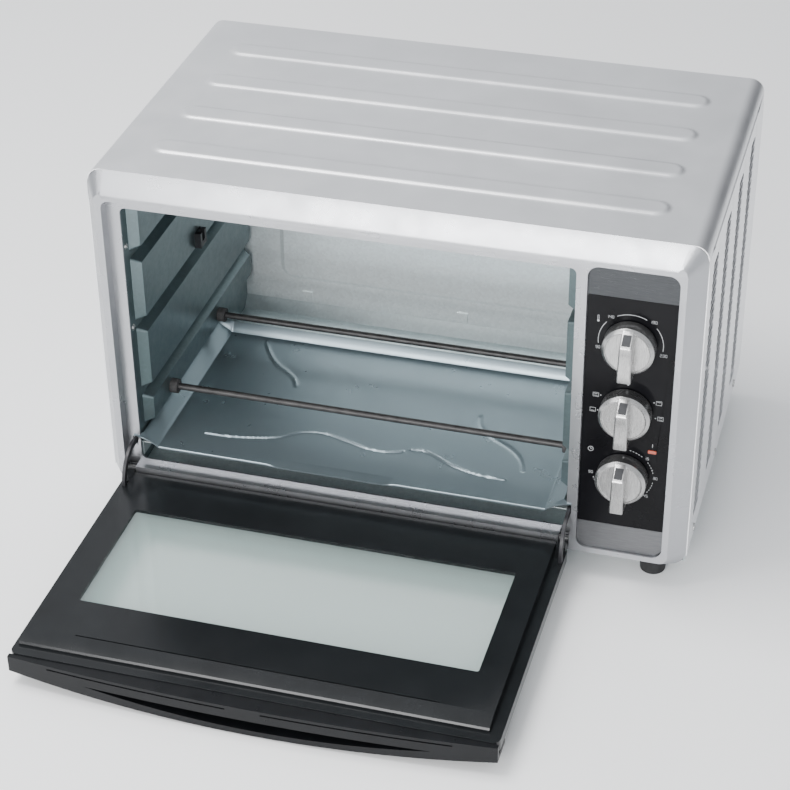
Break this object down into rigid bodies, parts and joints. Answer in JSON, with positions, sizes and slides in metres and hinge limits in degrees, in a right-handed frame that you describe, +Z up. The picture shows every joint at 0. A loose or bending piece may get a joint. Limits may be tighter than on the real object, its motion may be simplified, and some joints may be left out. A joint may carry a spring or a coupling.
{
  "type": "toaster oven",
  "caption": "Countertop toaster oven: box-shaped body with ribbed cover and louvred sides, drop-down glass door, sliding crumb tray, rod heaters and a column of turning controls.",
  "frame": {"origin": "middle of the ground covered by the oven with its door laid open, on the plane the feet stand on", "axes": "+X to the right seen from the front, front faces -Y, +Z up"},
  "size_m": [0.5036, 0.563, 0.3246],
  "materials": {
    "cover_paint": "satin silver paint",
    "bezel_paint": "satin silver paint",
    "galvanised": "galvanised, faint spangle",
    "tray_steel": "galvanised sheet",
    "rod_sheath": "heat-darkened steel",
    "ceramic": "matt",
    "panel_steel": "brushed",
    "panel_black": "gloss black with pale marks",
    "knob_silver": "brushed",
    "door_black": "gloss black",
    "handle_black": "satin black",
    "door_glass": "clear",
    "rubber": "matt",
    "screw_steel": "zinc plated",
    "hinge_black": "black",
    "phenolic": "moulded",
    "lamp_red": "translucent red",
    "wire_sleeve": "braided glass sleeve"
  },
  "bodies": {
    "oven_body": {"outer_cover": "cover_paint", "front_bezel": "bezel_paint", "rear_panel": "cover_paint", "base_panel": "galvanised", "rear_brackets": "galvanised", "feet": "rubber", "foot_screws": "screw_steel", "cover_screws": "screw_steel", "rear_screws": "screw_steel", "cord_gland": "rubber", "chamber_left_wall": "galvanised", "chamber_right_wall": "galvanised", "chamber_ceiling": "galvanised", "chamber_floor": "galvanised", "chamber_back_wall": "galvanised", "chamber_rear_slope": "galvanised", "wall_rivets": "screw_steel", "spit_socket": "hinge_black", "tray_runner_left": "galvanised", "tray_runner_right": "galvanised", "heater_lower_front": "rod_sheath", "heater_lower_rear": "rod_sheath", "heater_upper_front": "rod_sheath", "heater_upper_rear": "rod_sheath", "heater_insulators": "ceramic", "panel_plate_top": "panel_steel", "panel_plate_bottom": "panel_steel", "control_panel": "panel_black", "switch_plate": "galvanised", "switch_plate_screws": "screw_steel", "thermostat": "phenolic", "function_switch": "phenolic", "timer": "phenolic", "indicator_lens": "lamp_red", "indicator_lamp": "lamp_red", "terminal_block": "phenolic", "wiring": "wire_sleeve", "hinge_pins": "screw_steel"},
    "door": {"door_outer_frame": "door_black", "door_inner_frame": "door_black", "door_inner_glass": "door_glass", "door_outer_glass": "door_glass", "hinge_arm_left": "hinge_black", "hinge_arm_right": "hinge_black", "door_handle": "handle_black", "handle_screws": "screw_steel", "door_screws": "screw_steel"},
    "tray": {"crumb_tray": "tray_steel"},
    "temperature_control": {"knob_temperature": "knob_silver", "shaft_temperature": "screw_steel"},
    "function_control": {"knob_function": "knob_silver", "shaft_function": "screw_steel"},
    "timer_control": {"knob_timer": "knob_silver", "shaft_timer": "screw_steel"}
  },
  "joints": [
    {"name": "door_hinge", "type": "hinge", "parent": "oven_body", "child": "door", "pos_m": [-0.0415, -0.02045, 0.034], "axis": [1, 0, 0], "range_deg": [-90, 0]},
    {"name": "crumb_tray_slide", "type": "slide", "parent": "oven_body", "child": "tray", "axis": [0, -1, 0], "range_m": [0, 0.105]},
    {"name": "temperature_turn", "type": "hinge", "parent": "oven_body", "child": "temperature_control", "pos_m": [0.1954, -0.03745, 0.233], "axis": [0, 1, 0], "range_deg": [-105, 105]},
    {"name": "function_turn", "type": "hinge", "parent": "oven_body", "child": "function_control", "pos_m": [0.1954, -0.03745, 0.17075], "axis": [0, 1, 0], "range_deg": [-90, 90]},
    {"name": "timer_turn", "type": "hinge", "parent": "oven_body", "child": "timer_control", "pos_m": [0.1954, -0.03745, 0.1085], "axis": [0, 1, 0], "range_deg": [0, 270]}
  ]
}
